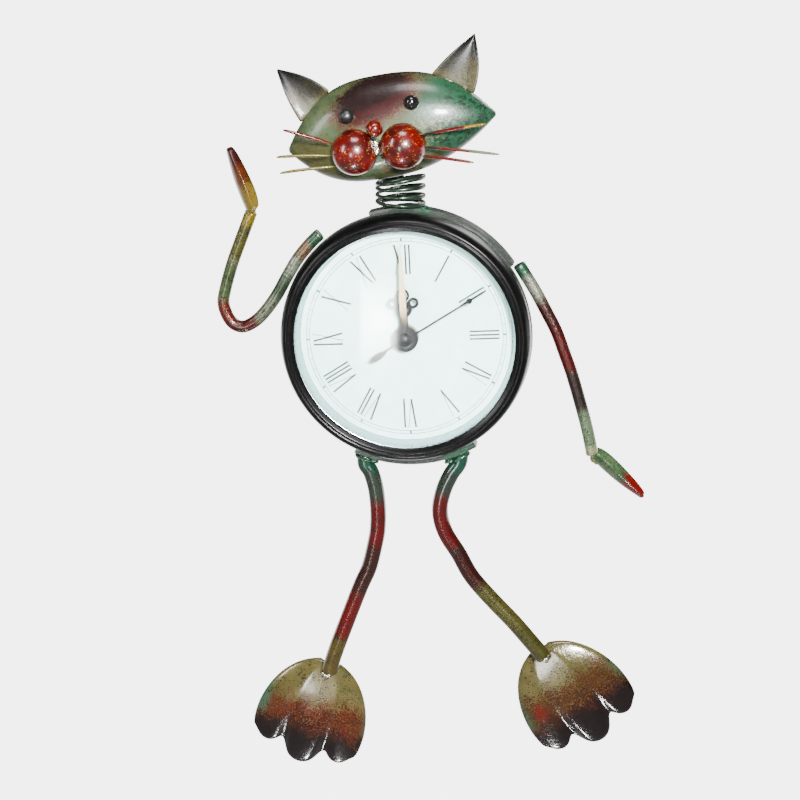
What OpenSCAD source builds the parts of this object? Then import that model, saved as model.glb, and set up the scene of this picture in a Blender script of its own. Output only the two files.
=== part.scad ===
// Wall clock in the form of a cat. A round quartz clock insert is the belly, and painted steel
// rods, stamped plates and a coil-spring neck carry the head, arms and legs.
// Millimetres. +Z is up, the front faces -Y, and the wall is the plane y = 0.
// The origin is the centre of the hanging hole, on the wall.

/* [Case] */
// Outside radius of the case's front flange
flange_r = 57.5; // [54:0.5:72]
// Thickness of the flange and the drum behind it
case_t = 1.5; // [1:0.1:2.5]
// Depth of the case, from the wall to the front of its flange
case_depth = 19; // [19:0.5:26]
// Thickness of the strip that carries the neck
neck_strip_t = 1.6; // [1:0.1:3]
// Thickness of the strip that carries the legs
leg_strip_t = 3.6; // [1.5:0.1:4]
// Depth of both strips, from back to front
strip_w = 9; // [7:0.5:12]
// Height of the hanging hole above the dial's centre
hanger_up = 40; // [38:0.5:42]
// Radius of the hanging hole
hanger_hole_r = 4.2; // [3:0.1:5]

/* [Clock insert] */
// Width of the bezel's ring
bezel_w = 7; // [5:0.5:10]
// Height of the bezel's crown above the case's front
bezel_rise = 12.2; // [11.5:0.1:15]
// Depth of the dial recess, from the lens seat to the dial
dial_recess = 7; // [6.5:0.1:9]
// Rise of the domed lens at its middle
lens_rise = 5.5; // [5:0.1:8]
// Thickness of the lens
lens_t = 1.5; // [1:0.1:2.5]
// Thickness of the dial plate
dial_t = 0.8; // [0.5:0.1:1.2]
// Turn of the dial in its bezel, anticlockwise
dial_turn = 3; // [0:0.5:10]
// Running clearance of turning parts
play = 0.06; // [0.03:0.01:0.1]

/* [Hands] */
// Length of the hour hand
hour_len = 27; // [20:0.5:32]
// Length of the minute hand
minute_len = 44.5; // [36:0.5:45]
// Length of the second hand
second_len = 43; // [34:0.5:44]
// Seconds that the second hand shows
seconds_shown = 10; // [0:1:59]

/* [Limbs] */
// Diameter of the arm rods
arm_d = 6; // [4:0.5:8]
// Diameter of the leg rods
leg_d = 8; // [5:0.5:9.5]
// Length of a paw, from wrist to tip
paw_len = 31; // [24:1:38]
// Width of a paw, from front to back
paw_w = 16; // [12:0.5:18]
// Length of a foot, from heel to toes
foot_len = 56; // [46:1:68]
// Width of a foot
foot_w = 56; // [44:1:68]
// Thickness of the stamped paws, feet and ears
plate_t = 1.5; // [1:0.1:2]

/* [Head] */
// Length of the head, from tip to tip
head_l = 96; // [80:1:116]
// Height of the brow above the line through the tips
brow_h = 26.4; // [22:0.5:32]
// Depth of the chin below the line through the tips
chin_h = 20; // [16:0.5:24]
// Height of the front shell's dome
face_dome = 13; // [10:0.5:16]
// Thickness of the head's shells
head_t = 1.2; // [0.8:0.1:1.6]
// Tilt of the head, the right tip upwards
head_tilt = 10.8; // [0:0.2:16]
// Length of an ear, from root to tip
ear_len = 24; // [18:1:30]
// Radius of a cheek
cheek_r = 10.4; // [8:0.2:12]

/* [Neck] */
// Outside diameter of the neck spring
spring_d = 23; // [18:0.5:24]
// Diameter of the spring's wire
spring_wire = 2; // [1.5:0.1:2.5]
// Turns of the spring
spring_turns = 3; // [2:0.5:4]
// Gap from the neck strip to the head
neck_gap = 13.6; // [11.6:0.2:18]

/* [Movement] */
// Side of the square quartz movement
move_side = 56; // [54:0.5:60]
// Thickness of the movement's plastic walls
move_wall = 1.2; // [1:0.1:1.5]

/* [Hidden] */
$fn = 96;

// Places. A depth is a distance from the wall towards the viewer, so it is -y.
dial_z = -hanger_up;
drum_r = flange_r - 5.5;
drum_in = drum_r - case_t;
neck_strip_r = flange_r + neck_strip_t;
leg_strip_r = flange_r + leg_strip_t;
mid_depth = case_depth - strip_w / 2;
cup_r = drum_in - 0.4;
dial_back = case_depth + 1.2;
dial_front = dial_back + dial_t;
lens_seat = dial_front + dial_recess;
lens_edge = lens_seat + lens_t;
bezel_out = flange_r - 0.3;
bezel_in = bezel_out - bezel_w;
lens_r = bezel_in + 1.6;
dial_r = bezel_in - 1.8;
neck_x = -3.2;
spring_axis = mid_depth;
spring_r = (spring_d - spring_wire) / 2;
strip_top = sqrt(neck_strip_r * neck_strip_r - neck_x * neck_x);
coil_gap = 0.3;
spring_foot = strip_top + coil_gap + spring_wire / 2;
rim_depth = 14;
head_x = -7.1;
head_z = strip_top + neck_gap + chin_h * cos(head_tilt);

function lerp(a, b, t) = a + (b - a) * t;
function unit(v) = v / norm(v);
function polar(angle, r) = [r * sin(angle), r * cos(angle)];

// A smooth curve through points chosen by hand (Catmull-Rom).
function curve_point(p, i, t) =
    let (n = len(p) - 1)
    let (a = p[max(i - 1, 0)], b = p[i], c = p[min(i + 1, n)], d = p[min(i + 2, n)])
    0.5 * ((2 * b) + (c - a) * t + (2 * a - 5 * b + 4 * c - d) * t * t
    + (3 * b - a - 3 * c + d) * t * t * t);
function curve(p, steps) =
    concat([for (i = [0 : len(p) - 2], s = [0 : steps - 1]) curve_point(p, i, s / steps)], [p[len(p) - 1]]);

// A rod of round section along a path. The reference is a direction that the path never takes.
module rod(path, r, sides = 12, ref = [0, 1, 0]) {
    n = len(path);
    function heading(i) = unit(path[min(i + 1, n - 1)] - path[max(i - 1, 0)]);
    function ring(i) =
        let (t = heading(i), a = unit(cross(ref, t)), b = cross(t, a))
        [for (k = [0 : sides - 1]) path[i] + r * (cos(360 * k / sides) * a + sin(360 * k / sides) * b)];
    points = [for (i = [0 : n - 1]) each ring(i)];
    walls = [for (i = [0 : n - 2], k = [0 : sides - 1])
        let (l = (k + 1) % sides)
        [i * sides + k, (i + 1) * sides + k, (i + 1) * sides + l, i * sides + l]];
    first = [for (k = [0 : sides - 1]) k];
    last = [for (k = [sides - 1 : -1 : 0]) (n - 1) * sides + k];
    polyhedron(points, concat([first], walls, [last]), convexity = 8);
}

// A thin bent plate between two surfaces. Each surface is a function of u, 0 to 1 along the
// plate, and v, -1 to 1 across it.
module skin(front, back, rows, cols) {
    w = cols + 1;
    h = rows + 1;
    function grid(f) = [for (i = [0 : rows], j = [0 : cols]) f(i / rows, 2 * j / cols - 1)];
    function quad(a, b, c, d) = [[a, b, c], [a, c, d]];
    points = concat(grid(front), grid(back));
    back_0 = w * h;
    faces = concat(
        [for (i = [0 : rows - 1], j = [0 : cols - 1])
            each quad(i * w + j, i * w + j + 1, (i + 1) * w + j + 1, (i + 1) * w + j)],
        [for (i = [0 : rows - 1], j = [0 : cols - 1])
            each quad(back_0 + i * w + j, back_0 + (i + 1) * w + j,
                back_0 + (i + 1) * w + j + 1, back_0 + i * w + j + 1)],
        [for (i = [0 : rows - 1]) each quad(i * w, (i + 1) * w, back_0 + (i + 1) * w, back_0 + i * w)],
        [for (i = [0 : rows - 1])
            each quad(i * w + cols, back_0 + i * w + cols, back_0 + (i + 1) * w + cols, (i + 1) * w + cols)],
        [for (j = [0 : cols - 1]) each quad(j, back_0 + j, back_0 + j + 1, j + 1)],
        [for (j = [0 : cols - 1])
            each quad(rows * w + j, rows * w + j + 1, back_0 + rows * w + j + 1, back_0 + rows * w + j)]);
    polyhedron(points, faces, convexity = 8);
}

// A round piece about the dial's axis, from a profile of [radius, depth] points.
module turned(profile) {
    translate([0, 0, dial_z]) rotate([90, 0, 0]) rotate_extrude($fn = 128) polygon(profile);
}

// A flat piece square to the dial's axis, between two depths, drawn in [x, z] about the axis.
module flat(from, to) {
    translate([0, -from, dial_z]) rotate([90, 0, 0]) linear_extrude(to - from) children();
}

// Points of an [x, z] outline about the dial, put at one depth.
function at_depth(points, depth) = [for (p = points) [p[0], -depth, p[1] + dial_z]];

// ---- Case, strips and hanger

module case_drum() color("lightslategray")
    turned([[drum_in, 0], [drum_r, 0], [drum_r, case_depth - case_t], [flange_r, case_depth - case_t],
        [flange_r, case_depth], [drum_in, case_depth]]);

// A strip that lies on the flange between two angles, clockwise from the top.
module strip(from, to, t) {
    translate([0, strip_w - case_depth, dial_z])
        rotate([90, to - 90, 0])
            rotate_extrude(angle = to - from, $fn = 128)
                translate([flange_r, 0]) square([t, strip_w]);
}
neck_from = -17;
neck_to = 55;
module neck_strip() color("slategray") strip(neck_from, neck_to, neck_strip_t);

leg_from = 148;
leg_to = 203.5;
module leg_strip() color("slategray") strip(leg_from, leg_to, leg_strip_t);

strap_h = 17;
strap_t = 1.6;
slot_w = 4.2;
slot_up = 7.5;
module hanger_strap() color("slategray") difference() {
    intersection() {
        flat(0, strap_t) circle(drum_in, $fn = 128);
        translate([-drum_r, -strap_t, -strap_h / 2]) cube([2 * drum_r, strap_t, strap_h]);
    }
    translate([0, 1, 0]) rotate([90, 0, 0]) cylinder(r = hanger_hole_r, h = strap_t + 2);
    translate([-slot_w / 2, -strap_t - 1, 0]) cube([slot_w, strap_t + 2, slot_up - slot_w / 2 - 1]);
}

// ---- Arms and legs. The first points lie on the band, as [angle, gap]; the rest are [x, z] steps
// from the last of them.

arm_r = arm_d / 2;
leg_r = leg_d / 2;
function hugging(list, base) = [for (p = list) polar(p[0], base + p[1])];
function route(hug, base, steps) =
    let (start = hugging(hug, base))
    concat(start, [for (p = steps) start[len(start) - 1] + p]);

arm_left_route = route([[-41, 0.1], [-47, 0.1], [-56, 0.2], [-66, 0.5], [-74, 1.8]], flange_r + arm_r,
    [[-5.3, -7.6], [-10.6, -13], [-16.6, -15.8], [-22, -13.2], [-25.2, -5.6], [-24.3, 1.4],
    [-20.7, 13.9], [-16.6, 24.8], [-11.4, 38.2]]);
arm_right_route = route([[56.2, 0.1], [62.5, 0.3], [70, 1.5]], flange_r + arm_r,
    [[5.2, -9.6], [9.8, -18.4], [13.5, -28.2], [17.1, -38], [20.9, -50.5], [24.7, -64.1], [27.4, -76.4]]);
leg_left_route = route([[198.6, 0], [197.4, 4.5]], leg_strip_r,
    [[2.6, -4], [4.9, -12.2], [5.9, -22.8], [5.7, -31], [4.9, -36.7], [1.8, -50.4], [-2.2, -59.8],
    [-6.8, -72], [-11.1, -83.7], [-15.3, -95.5], [-18.1, -105.2]]);
leg_right_route = route([[156, 0], [158.5, 4.5]], leg_strip_r,
    [[-3.4, -5.1], [-6.8, -12.6], [-8.7, -21.1], [-8, -28.6], [-5.1, -36], [0.3, -44.4],
    [6.4, -55.4], [16.5, -67], [26, -76.9], [33.7, -85.8], [41.3, -94.8]]);

module limb(points, r) rod(curve(at_depth(points, mid_depth), 4), r);
module arm_left() color("olivedrab") limb(arm_left_route, arm_r);
module arm_right() color("darkseagreen") limb(arm_right_route, arm_r);
module leg_left() color("firebrick") limb(leg_left_route, leg_r);
module leg_right() color("darkolivegreen") limb(leg_right_route, leg_r);

function last(p) = p[len(p) - 1];
function end_heading(p) = unit(last(p) - p[len(p) - 2]);

// A paw is a cupped leaf, seen from its edge: its width lies front to back. The turn swings it
// from the rod's own heading, and side = 1 puts the hollow on the rod's left.
function paw_edge(u) = pow(sin(180 * pow(u, 0.62)), 0.62);
module paw(route, turn, side) {
    heading = end_heading(route);
    angle = atan2(heading[1], heading[0]) + turn;
    along = [cos(angle), sin(angle)];
    across = side * [-along[1], along[0]];
    root = last(route) - 0.4 * heading;
    cup = 5;
    bow = 1;
    function point(u, v, lift) =
        let (e = lerp(0.18, 1, paw_edge(lerp(0.04, 0.985, u))))
        let (h = cup * e * v * v - bow * sin(180 * u) - cup * 0.35 + lift)
        let (p = root + u * paw_len * along + h * across)
        [p[0], -mid_depth - v * e * paw_w / 2, p[1] + dial_z];
    convex = function(u, v) point(u, v, 0);
    hollow = function(u, v) point(u, v, plate_t);
    if (side > 0) skin(convex, hollow, 14, 10);
    else skin(hollow, convex, 14, 10);
}
module paw_left() color("darkkhaki") paw(arm_left_route, 39, -1);
module paw_right() color("indianred") paw(arm_right_route, 39, 1);

// A foot is a domed scallop with three toes. Its face looks at the viewer, and the rod's end
// lies on its heel.
foot_dome = 5;
toe_split = 0.35;
toe_groove = 2.6;
groove_from = 0.45;
side_toe = 0.68;
function foot_half(s) = foot_w / 2 * pow(1 - pow(1 - s, 2.3), 0.52) * (1 - 0.07 * pow(s, 6));
function lobe(v, middle, base, rise) = base + rise * sqrt(max(0, 1 - pow((v - middle) / 0.37, 2)));
function toe_line(v) = max(lobe(abs(v), 0, 0.8, 0.2), lobe(abs(v), side_toe, 0.6, 0.3));
function foot_swell(s, v) =
    pow(1 - pow(abs(v), 2.4), 0.8) * pow(sin(180 * lerp(0.04, 0.97, s)), 0.6);
module foot(route, turn, heel_up, heel_side) {
    heading = end_heading(route);
    angle = atan2(heading[1], heading[0]) + turn;
    along = [cos(angle), sin(angle)];
    across = [-along[1], along[0]];
    heel = last(route) - heel_up * along - heel_side * across;
    // The rim's depth lets the face just meet the underside of the rod's end.
    meet = foot_swell(heel_up / foot_len, heel_side / foot_half(heel_up / foot_len));
    rim = mid_depth - leg_r - plate_t - foot_dome * meet + 0.15;
    function point(u, v, lift) =
        let (s = lerp(0.015, 1, u))
        let (p = heel + s * foot_len * toe_line(v) * along + v * foot_half(s) * across)
        let (dome = foot_dome * foot_swell(s, v))
        let (groove = toe_groove * exp(-pow((abs(v) - toe_split) / 0.07, 2)) * max(0, s - groove_from)
            / (1 - groove_from))
        [p[0], -(rim + dome - min(groove, dome) + lift), p[1] + dial_z];
    skin(function(u, v) point(u, v, 0), function(u, v) point(u, v, plate_t), 18, 28);
}
module foot_left() color("darkred") foot(leg_left_route, -2, 3.9, 0.8);
module foot_right() color("darkred") foot(leg_right_route, -6, 4.4, 1.1);

// ---- Neck and head

// The coil lies flat for its first and last part turn and climbs evenly between them, while its
// turns lean over to the slope of the head's underside.
spring_steps = 24;
spring_start = 200;
flat_turns = 0.6;
module neck_spring() {
    rise = neck_gap - spring_wire - 2 * coil_gap;
    turns = spring_turns + 2 * flat_turns;
    function climb(t) = max(0, min(1, (t - flat_turns) / spring_turns));
    path = [for (k = [0 : spring_steps * turns])
        let (t = k / spring_steps, x = spring_r * cos(360 * t + spring_start))
        [neck_x + x, -spring_axis - spring_r * sin(360 * t + spring_start),
        dial_z + spring_foot + climb(t) * (rise + x * tan(head_tilt))]];
    color("slategray") rod(path, spring_wire / 2, 8, [0, 0, 1]);
}

// The head's own frame: x along the line through the tips, y up, z towards the viewer.
module in_head() translate([head_x, 0, dial_z + head_z]) rotate([0, -head_tilt, 0]) rotate([90, 0, 0]) children();

function swell(u, peak, left, right) =
    1 - (u < peak ? pow((peak - u) / peak, left) : pow((u - peak) / (1 - peak), right));
function brow(u) = brow_h * swell(u, 0.47, 2.7, 2.8);
function chin(u) = chin_h * swell(u, 0.44, 2.9, 2.3);
function head_u(x) = x / head_l + 0.5;
function dome(u, v) = pow(max(0, 1 - pow(abs(2 * u - 1), 2.4)), 0.8) * pow(max(0, 1 - pow(abs(v), 2.3)), 0.72);
function head_v(x, y) = y > 0 ? y / brow(head_u(x)) : y / chin(head_u(x));
// Height of the face above the rim, at a point of the head's own frame
function face_at(x, y) = face_dome * dome(head_u(x), head_v(x, y));
function on_face(x, y, lift) = [x, y, rim_depth + face_at(x, y) + lift];

module head_shell(rise) {
    function point(u, v, t) =
        let (s = lerp(0.006, 0.994, u))
        let (y = v > 0 ? v * brow(s) : v * chin(s))
        [(s - 0.5) * head_l, y, rim_depth + rise * dome(s, v) + t];
    up = rise > 0;
    skin(function(u, v) point(u, v, up ? head_t : 0),
        function(u, v) point(u, v, up ? 0 : -head_t), 32, 16);
}
module head_front() color("darkseagreen") in_head() head_shell(face_dome);
module head_back() color("darkseagreen") in_head() head_shell(-4.5);

// An ear is a leaf bent about its middle line, its root welded to the head's edge.
module ear(root, tip_angle, root_half, lean) {
    along = [cos(tip_angle), sin(tip_angle)];
    across = [-along[1], along[0]];
    function half(u) = root_half * (1 - u + 0.16 * sin(180 * u)) + 0.25;
    function point(u, v, t) =
        let (p = root + u * ear_len * along + (v * half(u) + lean * sin(180 * u)) * across)
        [p[0], p[1], rim_depth + 2.2 * v * v - 3.4 * u * u + t];
    in_head() skin(function(u, v) point(u, v, 0.8), function(u, v) point(u, v, 0.8 - plate_t), 12, 8);
}
function top_edge(x) = [x, brow(head_u(x))];
module ear_left() color("darkkhaki") ear(top_edge(-31.2) - [0.2, 1.6], 127, 9.8, -0.5);
module ear_right() color("darkkhaki") ear(top_edge(30.7) - [0, 1.8], 56, 10.4, -0.7);

eye_r = 3.3;
module eye(x, y) translate(on_face(x, y, head_t + eye_r * 0.35)) sphere(eye_r, $fn = 32);
module eyes() color("black") in_head() {
    eye(-16.8, 12);
    eye(12.7, 13);
}

nose_r = 3.7;
module nose() color("firebrick") in_head()
    translate(on_face(-5.2, 4.7, head_t + nose_r * 0.55)) sphere(nose_r, $fn = 32);

cheek_left_at = [-16.4, -4.2];
cheek_right_at = [5.5, -5.2];
module cheek(at) in_head() translate(on_face(at[0], at[1], head_t - 0.9)) intersection() {
    sphere(cheek_r, $fn = 64);
    translate([-cheek_r, -cheek_r, 0]) cube(2 * cheek_r);
}
module cheek_left() color("firebrick") cheek(cheek_left_at);
module cheek_right() color("firebrick") cheek(cheek_right_at);

weld_r = 2.6;
module muzzle_weld() color("silver") in_head() {
    translate(on_face(-6.4, -1.4, head_t + 1.8)) sphere(weld_r, $fn = 24);
    translate(on_face(-5.4, -5.4, head_t + 1.6)) sphere(weld_r * 0.9, $fn = 24);
}

// Three whisker wires on a cheek: each runs out from the cheek's side to a tip.
whisker_d = 1.6;
module whisker(at, from, tip) {
    foot = [at[0] + from[0] * cheek_r, at[1] + from[1] * cheek_r,
        on_face(at[0], at[1], 0)[2] + head_t + 0.35 * cheek_r];
    end = [tip[0], tip[1], foot[2] + 4.5];
    rod([foot, lerp(foot, end, 0.5) + [0, 0.5, 0.6], end], whisker_d / 2, 8, [0, 0, 1]);
}
module whiskers_left() color("olive") in_head() {
    whisker(cheek_left_at, [-0.78, 0.52], [-44.8, 12.1]);
    whisker(cheek_left_at, [-0.88, 0.06], [-50.2, 0.7]);
    whisker(cheek_left_at, [-0.8, -0.42], [-50.2, -6.6]);
}
module whiskers_right() color("olive") in_head() {
    whisker(cheek_right_at, [0.82, 0.36], [44.7, -1]);
    whisker(cheek_right_at, [0.88, -0.14], [48.1, -15.3]);
    whisker(cheek_right_at, [0.74, -0.5], [36.3, -16.9]);
}

// ---- Clock insert: bezel, lens, reflector, dial, cup and gasket

bezel_crown = case_depth + bezel_rise;
bezel_widest = case_depth + bezel_rise * 0.28;
module bezel() color("black") {
    mid_r = bezel_in + bezel_w * 0.42;
    half_w = bezel_out - mid_r;
    half_h = bezel_crown - bezel_widest;
    arc = [for (a = [0 : 9 : 90])
        [mid_r + half_w * pow(cos(a), 0.8), bezel_widest + half_h * pow(sin(a), 0.8)]];
    turned(concat([[bezel_in, lens_edge], [lens_r, lens_edge], [lens_r, dial_front], [cup_r, dial_front],
        [cup_r, case_depth + 0.1], [bezel_out - 0.5, case_depth + 0.1], [bezel_out - 0.5, case_depth + 1.2]],
        arc, [[lerp(mid_r, bezel_in, 0.6), lerp(bezel_crown, lens_edge, 0.35)], [bezel_in, lens_edge + 0.3]]));
}

// Depth of a dome's surface at a radius, for a dome of a rim radius and a rise
function dome_depth(r, rim, rise) =
    let (ball = (rim * rim + rise * rise) / (2 * rise))
    sqrt(ball * ball - r * r) - (ball - rise);
module lens() color("aliceblue", 0.35) {
    glass_r = lens_r - 0.05;
    rim = glass_r - 1.6;
    steps = 12;
    top = [for (k = [steps : -1 : 0]) [rim * k / steps, lens_edge + dome_depth(rim * k / steps, rim, lens_rise)]];
    under = [for (k = [0 : steps]) [rim * k / steps, lens_seat + dome_depth(rim * k / steps, rim, lens_rise)]];
    turned(concat([[glass_r, lens_seat], [glass_r, lens_edge]], top, under));
}

reflector_t = 0.7;
module reflector_ring() color("silver")
    turned([[dial_r, dial_front], [bezel_in + 0.2, lens_seat], [lens_r - 0.05, lens_seat],
        [lens_r - 0.05, lens_seat - reflector_t], [bezel_in + 0.5, lens_seat - reflector_t],
        [dial_r + reflector_t, dial_front]]);

shaft_r = 1;
tube_t = 0.6;
cannon_r = shaft_r + play + tube_t;
hour_tube_r = cannon_r + play + tube_t;
bush_in = hour_tube_r + play;
bush_r = bush_in + 1.2;
nut_t = 1.6;
washer_t = 0.4;

module dial() color("mintcream")
    turned([[bush_r + 0.02, dial_back], [cup_r - 0.05, dial_back], [cup_r - 0.05, dial_front],
        [bush_r + 0.02, dial_front]]);

cup_back = 12.5;
cup_wall = 1.6;
window = move_side + 0.6;
module insert_cup() color("dimgray") difference() {
    turned([[0, cup_back], [cup_r, cup_back], [cup_r, dial_back], [cup_r - cup_wall, dial_back],
        [cup_r - cup_wall, cup_back + cup_wall], [0, cup_back + cup_wall]]);
    flat(cup_back - 1, dial_back) square(window, center = true);
}
module gasket_ring() color("darkslategray")
    turned([[cup_r, 14], [drum_in - play, 14.4], [drum_in - play, 16.6], [cup_r, 17]]);
module dial_washer() color("silver")
    turned([[bush_r + 0.05, dial_front], [bush_r + 2.4, dial_front],
        [bush_r + 2.4, dial_front + washer_t], [bush_r + 0.05, dial_front + washer_t]]);
module mounting_nut() color("goldenrod")
    flat(dial_front + washer_t, dial_front + washer_t + nut_t) difference() {
        circle(bush_r + 1.9, $fn = 6);
        circle(bush_r, $fn = 64);
    }

// ---- Hands

hand_t = 0.4;
hour_at = dial_front + washer_t + nut_t + 2.2;
minute_at = hour_at + 1.7;
second_at = minute_at + 1.3;
hub_r = 6;

// Turns a piece about the dial's axis, clockwise from the top.
module pointing(angle) translate([0, 0, dial_z]) rotate([0, angle, 0]) translate([0, 0, -dial_z]) children();

// A leaf drawn along +y between two heights, w wide at its fullest, a share of the way up.
module leaf(y0, y1, w, fullest) {
    edge = [for (k = [0 : 10]) let (t = k / 10) [w / 2 * pow(sin(180 * pow(t, ln(0.5) / ln(fullest))), 0.8),
        lerp(y0, y1, t)]];
    polygon(concat(edge, [for (k = [9 : -1 : 1]) [-edge[k][0], edge[k][1]]]));
}
module ring2d(at, outer, inner) translate(at) difference() {
    circle(outer, $fn = 32);
    circle(inner, $fn = 32);
}
ring_at = hour_len * 0.61;
loop_at = hour_len * 0.79;
module hour_outline() {
    difference() {
        union() {
            circle(hub_r, $fn = 64);
            translate([-1.8, 0]) square([3.6, ring_at - 5]);
            translate([0, ring_at - 2.8]) circle(3.8, $fn = 48);
        }
        for (s = [-1, 1]) translate([s * 1.4, ring_at - 3]) circle(0.85, $fn = 24);
    }
    for (s = [-1, 1]) ring2d([s * 4.6, ring_at + 0.2], 2.5, 1.3);
    ring2d([0, loop_at - 1.1], 3, 2);
    leaf(loop_at + 1.2, hour_len, 2.4, 0.3);
}
module hand(at) flat(at, at + hand_t) children();

module hour_hand() color("black") pointing(-dial_turn) difference() {
    hand(hour_at) hour_outline();
    flat(hour_at - 1, hour_at + 1) circle(hour_tube_r, $fn = 64);
}
minute_hub_r = 4.2;
module minute_hand() color("black") pointing(-dial_turn) difference() {
    hand(minute_at) {
        circle(minute_hub_r, $fn = 64);
        translate([0, 3]) leaf(0, minute_len - 3, 3, 0.28);
    }
    flat(minute_at - 1, minute_at + 1) circle(cannon_r, $fn = 64);
}
cap_r = 3.4;
cap_h = 1.9;
module second_hand() color("black") pointing(6 * seconds_shown - dial_turn) {
    hand(second_at) {
        circle(2.4, $fn = 48);
        translate([-0.4, 0]) square([0.8, second_len]);
        translate([0, second_len * 0.81]) circle(1.35, $fn = 32);
        rotate(180) translate([0, 1]) square([0.8, 12]);
        rotate(180) leaf(9, 18.5, 3.2, 0.55);
    }
    cap_ball = (cap_r * cap_r + cap_h * cap_h) / (2 * cap_h);
    turned(concat([for (k = [0 : 8]) let (r = cap_r * k / 8)
        [r, second_at + hand_t + cap_h - cap_ball + sqrt(cap_ball * cap_ball - r * r)]],
        [[cap_r, second_at], [0, second_at]]));
}

// ---- Quartz movement. Depths run from the rear cover to the dial.

move_front = dial_back;
move_back = 4.2;
room = move_side / 2 - move_wall;
cover_split = 11;
bay_top = -10.2;
battery_r = 7.1;
battery_z = -18.6;
battery_depth = 11.8;

// Arbor places about the dial's axis, set by wheel teeth and modules
motion_m = 0.4;
cannon_teeth = 12;
minute_teeth = 36;
minute_pinion_teeth = 10;
hour_teeth = 40;
minute_arbor = polar(90, (cannon_teeth + minute_teeth) / 2 * motion_m);
hour_m = 2 * norm(minute_arbor) / (minute_pinion_teeth + hour_teeth);
third_m = 0.28;
pinion_teeth = 8;
centre_teeth = 60;
third_teeth = 64;
third_arbor = polar(-45, (pinion_teeth + centre_teeth) / 2 * third_m);
second_m = 2 * norm(third_arbor) / (pinion_teeth + third_teeth);
drive_m = 0.3;
second_teeth = 40;
middle_arbor = polar(30, (pinion_teeth + second_teeth) / 2 * drive_m);
rotor_m = 0.25;
middle_teeth = 48;
rotor_arbor = middle_arbor + polar(50, (pinion_teeth + middle_teeth) / 2 * rotor_m);

// Layers
hour_layer = 17.4;
minute_layer = 15.6;
centre_layer = 13.6;
plate_layer = 12;
third_layer = 10.8;
second_layer = 8.4;
middle_layer = 6.6;

module movement_case() color("whitesmoke") difference() {
    union() {
        flat(cover_split, move_front) square(move_side, center = true);
        flat(move_front - 1, dial_front + washer_t + nut_t + 0.2) circle(bush_r, $fn = 64);
    }
    flat(cover_split - 1, move_front - move_wall) translate([-room, bay_top])
        square([2 * room, room - bay_top]);
    flat(cover_split - 1, move_front - move_wall) translate([-room, -room])
        square([2 * room, room + bay_top - 1]);
    flat(cover_split - 1, dial_front + 4) circle(bush_in, $fn = 64);
}
knob_r = 5;
bearing = move_back + 0.5;
module movement_cover() color("whitesmoke") difference() {
    flat(move_back, cover_split) square(move_side, center = true);
    flat(move_back + move_wall, cover_split + 1) translate([-room, bay_top])
        square([2 * room, room - bay_top]);
    flat(move_back - 1, cover_split + 1) translate([-room, -room])
        square([2 * room, room + bay_top - 1]);
    at_arbor(minute_arbor) flat(move_back - 1, move_back + 3) circle(arbor_r + play, $fn = 32);
    for (at = [[0, 0], third_arbor, middle_arbor, rotor_arbor])
        at_arbor(at) flat(bearing, move_back + 3) circle(arbor_r + play, $fn = 32);
}
module at_arbor(p) translate([p[0], 0, p[1]]) children();

arbor_r = 0.6;
module middle_plate() color("gainsboro") difference() {
    flat(plate_layer, plate_layer + 0.8) translate([-room, bay_top]) square([2 * room, 27]);
    flat(plate_layer - 1, plate_layer + 2) circle(cannon_r + play, $fn = 48);
    for (at = [third_arbor, minute_arbor, middle_arbor, rotor_arbor])
        at_arbor(at) flat(plate_layer - 1, plate_layer + 2) circle(arbor_r + play, $fn = 32);
}

// A toothed wheel. Slim teeth leave backlash, and phase turns the first tooth from +x.
module wheel(teeth, m, phase) {
    r = teeth * m / 2;
    pitch = 360 / teeth;
    outline = [for (k = [0 : teeth - 1])
        let (a = phase + k * pitch)
        for (c = [[-0.25, -1.1], [-0.1, 0.72], [0.1, 0.72], [0.25, -1.1]])
        (r + c[1] * m) * [cos(a + c[0] * pitch), sin(a + c[0] * pitch)]];
    polygon(outline);
}
module gear(at, from, to, teeth, m, phase, bore) at_arbor(at) flat(from, to) difference() {
    wheel(teeth, m, phase);
    if (bore > 0) circle(bore, $fn = 48);
}
module arbor(at, from, to, r) at_arbor(at) flat(from, to) circle(r, $fn = 48);

// The phase that sets a driven wheel's gap over the driver's tooth
function towards(a, b) = atan2(b[1] - a[1], b[0] - a[0]);
function meshed(driver_phase, driver_teeth, line, teeth) =
    180 + line - (driver_phase - line) * driver_teeth / teeth + 180 / teeth;

module second_wheel() color("gold") {
    gear([0, 0], second_layer, second_layer + 0.8, second_teeth, drive_m, 0, 0);
    gear([0, 0], second_layer + 0.8, third_layer + 1, pinion_teeth, second_m, 0, 0);
    arbor([0, 0], bearing + 0.05, second_layer, arbor_r);
    arbor([0, 0], third_layer + 1, second_at, shaft_r);
}
third_phase = meshed(0, pinion_teeth, towards([0, 0], third_arbor), third_teeth);
module third_wheel() color("gold") {
    gear(third_arbor, third_layer, third_layer + 0.7, third_teeth, second_m, third_phase, 0);
    gear(third_arbor, centre_layer - 0.2, centre_layer + 1, pinion_teeth, third_m, 0, 0);
    arbor(third_arbor, third_layer + 0.7, centre_layer - 0.2, arbor_r);
    arbor(third_arbor, bearing + 0.05, third_layer, arbor_r);
}
centre_phase = meshed(0, pinion_teeth, towards(third_arbor, [0, 0]), centre_teeth);
module centre_wheel() color("gold") difference() {
    union() {
        gear([0, 0], centre_layer, centre_layer + 0.8, centre_teeth, third_m, centre_phase, 0);
        gear([0, 0], minute_layer - 0.2, minute_layer + 1.2, cannon_teeth, motion_m, 0, 0);
        arbor([0, 0], centre_layer + 0.8, minute_at + hand_t + 0.2, cannon_r);
    }
    flat(centre_layer - 1, minute_at + 2) circle(shaft_r + play, $fn = 48);
}
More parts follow.
